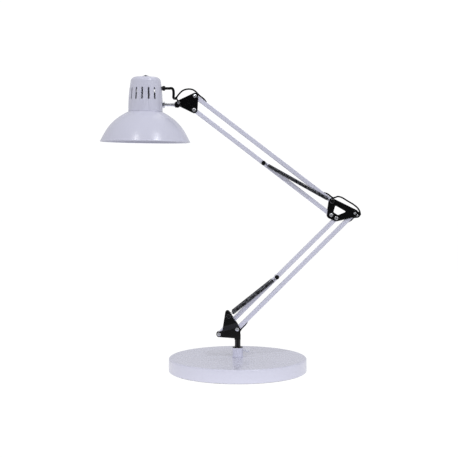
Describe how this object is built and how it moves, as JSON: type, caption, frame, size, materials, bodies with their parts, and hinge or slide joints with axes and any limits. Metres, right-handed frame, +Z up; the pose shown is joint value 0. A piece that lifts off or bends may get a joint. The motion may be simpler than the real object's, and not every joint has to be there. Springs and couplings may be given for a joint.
{
  "type": "swing arm desk lamp",
  "caption": "Desk lamp with a round weighted base, two spring-balanced parallel arms of square tube and a tilting metal shade with a vented neck.",
  "frame": {"origin": "centre of the base pad's underside, on the table", "axes": "+Z up; the arms lie in the plane Y = 0; the elbow is towards +X and the shade towards -X; +Y is away from the usual viewer"},
  "size_m": [0.4771, 0.2559, 0.5425],
  "materials": {
    "white_paint": "gloss",
    "black_paint": "semi-gloss",
    "zinc": "bright zinc plate",
    "spring_steel": "blackened, oiled",
    "lead_pvc": "satin",
    "black_plastic": "satin",
    "white_plastic": "satin",
    "phenolic": "satin",
    "brass": "satin",
    "iron": "as cast",
    "foam": "matte foam"
  },
  "bodies": {
    "base": {"base_cover": "white_paint", "base_ballast": "iron", "base_pad": "foam", "cord_gland": "black_plastic", "collar": "white_paint", "collar_nut": "zinc", "lead_base": "lead_pvc"},
    "thumbscrew": {"thumbscrew": "white_plastic"},
    "swivel_bracket": {"swivel_post": "black_paint", "base_bracket_near": "black_paint", "base_bracket_far": "black_paint", "base_front_rivet": "zinc", "base_rear_rivet": "zinc", "lead_swivel": "lead_pvc"},
    "lower_front_bar": {"lower_front_tube": "white_paint", "lead_lower_arm": "lead_pvc"},
    "lower_rear_bar": {"lower_rear_tube": "white_paint", "lower_spring_pin": "black_plastic"},
    "lower_springs": {"lower_spring_near_coil": "spring_steel", "lower_spring_far_coil": "spring_steel"},
    "lower_spring_hooks": {"lower_spring_near_hook": "spring_steel", "lower_spring_far_hook": "spring_steel"},
    "elbow_bracket": {"elbow_plate_near": "black_paint", "elbow_plate_far": "black_paint", "elbow_rear_rivet": "zinc", "elbow_low_rivet": "zinc", "elbow_top_pin": "black_paint", "elbow_bolt": "zinc", "cable_clip_rivet": "zinc", "lead_elbow_loop": "lead_pvc"},
    "elbow_wing_nut": {"elbow_wing_nut": "black_plastic"},
    "upper_top_bar": {"upper_top_tube": "white_paint", "lead_upper_arm": "lead_pvc"},
    "upper_low_bar": {"upper_low_tube": "white_paint", "upper_spring_pin": "black_plastic"},
    "upper_springs": {"upper_spring_near_coil": "spring_steel", "upper_spring_far_coil": "spring_steel"},
    "upper_spring_hooks": {"upper_spring_near_hook": "spring_steel", "upper_spring_far_hook": "spring_steel"},
    "head_bracket": {"head_bracket_near": "black_paint", "head_bracket_far": "black_paint", "head_low_rivet": "zinc", "head_top_rivet": "zinc", "tilt_bolt": "zinc", "lead_head_loop": "lead_pvc"},
    "tilt_wing_nut": {"tilt_wing_nut": "black_plastic"},
    "stem": {"stem": "zinc"},
    "head": {"neck_cover": "white_paint", "shade_bowl": "white_paint", "stem_outer_nut": "zinc", "stem_inner_nut": "zinc", "holder_strap": "zinc", "lamp_holder": "phenolic", "holder_screw_shell": "brass", "holder_contact": "brass", "switch_body": "black_plastic", "switch_bezel": "zinc", "strain_relief": "black_plastic", "lead_head": "lead_pvc"},
    "switch_button": {"switch_button": "zinc"}
  },
  "joints": [
    {"name": "thumbscrew_turn", "type": "hinge", "parent": "base", "child": "thumbscrew", "pos_m": [0.0145, 0, 0.0381], "axis": [1, 0, 0], "continuous": true},
    {"name": "base_swivel", "type": "hinge", "parent": "base", "child": "swivel_bracket", "pos_m": [0, 0, 0.043], "axis": [0, 0, 1], "range_deg": [-175, 175]},
    {"name": "lower_arm", "type": "hinge", "parent": "swivel_bracket", "child": "lower_front_bar", "pos_m": [-0.001, 0, 0.077], "axis": [0, -1, 0], "range_deg": [-10, 35], "deforming": ["lower_spring_near_coil", "lower_spring_near_hook", "lower_spring_far_coil", "lower_spring_far_hook", "lead_swivel", "lead_elbow_loop"]},
    {"name": "lower_rear_link", "type": "hinge", "parent": "swivel_bracket", "child": "lower_rear_bar", "pos_m": [-0.03436, 0, 0.06781], "axis": [0, -1, 0], "range_deg": [-11, 36]},
    {"name": "lower_spring_swing", "type": "hinge", "parent": "swivel_bracket", "child": "lower_springs", "pos_m": [-0.0165, 0, 0.1025], "axis": [0, -1, 0], "range_deg": [-15, 49]},
    {"name": "lower_spring_stretch", "type": "slide", "parent": "lower_springs", "child": "lower_spring_hooks", "axis": [0.7788, 0, 0.6273], "range_m": [-0.004, 0.002]},
    {"name": "elbow_level", "type": "hinge", "parent": "lower_front_bar", "child": "elbow_bracket", "pos_m": [0.2137, 0, 0.29095], "axis": [0, -1, 0], "range_deg": [-36, 11]},
    {"name": "elbow_nut_turn", "type": "hinge", "parent": "elbow_bracket", "child": "elbow_wing_nut", "pos_m": [0.2137, 0, 0.29095], "axis": [0, -1, 0], "continuous": true},
    {"name": "upper_arm", "type": "hinge", "parent": "elbow_bracket", "child": "upper_top_bar", "pos_m": [0.17227, 0, 0.31285], "axis": [0, -1, 0], "range_deg": [-22, 32], "deforming": ["upper_spring_near_coil", "upper_spring_near_hook", "upper_spring_far_coil", "upper_spring_far_hook", "lead_elbow_loop", "lead_head_loop"]},
    {"name": "upper_low_link", "type": "hinge", "parent": "elbow_bracket", "child": "upper_low_bar", "pos_m": [0.17075, 0, 0.2879], "axis": [0, -1, 0], "range_deg": [-23, 33]},
    {"name": "upper_spring_swing", "type": "hinge", "parent": "elbow_bracket", "child": "upper_springs", "pos_m": [0.17227, 0, 0.31285], "axis": [0, -1, 0], "range_deg": [-25, 36]},
    {"name": "upper_spring_stretch", "type": "slide", "parent": "upper_springs", "child": "upper_spring_hooks", "axis": [-0.8739, 0, 0.4862], "range_m": [-0.0095, 0.0135]},
    {"name": "head_level", "type": "hinge", "parent": "upper_top_bar", "child": "head_bracket", "pos_m": [-0.07789, 0, 0.50412], "axis": [0, -1, 0], "range_deg": [-33, 23]},
    {"name": "tilt_nut_turn", "type": "hinge", "parent": "head_bracket", "child": "tilt_wing_nut", "pos_m": [-0.10701, 0, 0.49156], "axis": [0, -1, 0], "continuous": true},
    {"name": "head_tilt", "type": "hinge", "parent": "head_bracket", "child": "stem", "pos_m": [-0.10701, 0, 0.49156], "axis": [0, -1, 0], "range_deg": [-50, 15], "deforming": ["lead_head_loop", "lead_head"]},
    {"name": "head_roll", "type": "hinge", "parent": "stem", "child": "head", "pos_m": [-0.13705, 0, 0.48898], "axis": [0.9999, 0, -0.014], "range_deg": [-60, 60], "deforming": ["lead_head_loop", "lead_head"]},
    {"name": "switch_press", "type": "slide", "parent": "head", "child": "switch_button", "axis": [-0.014, 0, -0.9999], "range_m": [0, 0.0015], "stiffness_N_per_m": 400}
  ],
  "couplings": [
    {"joint": "lower_rear_link", "follows": "lower_arm", "ratio": 1},
    {"joint": "elbow_level", "follows": "lower_arm", "ratio": -1},
    {"joint": "lower_spring_swing", "follows": "lower_arm", "ratio": 1.34},
    {"joint": "lower_spring_stretch", "follows": "lower_arm", "m_per_rad": -0.0045},
    {"joint": "upper_low_link", "follows": "upper_arm", "ratio": 1},
    {"joint": "head_level", "follows": "upper_arm", "ratio": -1},
    {"joint": "upper_spring_swing", "follows": "upper_arm", "ratio": 1.06},
    {"joint": "upper_spring_stretch", "follows": "upper_arm", "m_per_rad": 0.022}
  ]
}
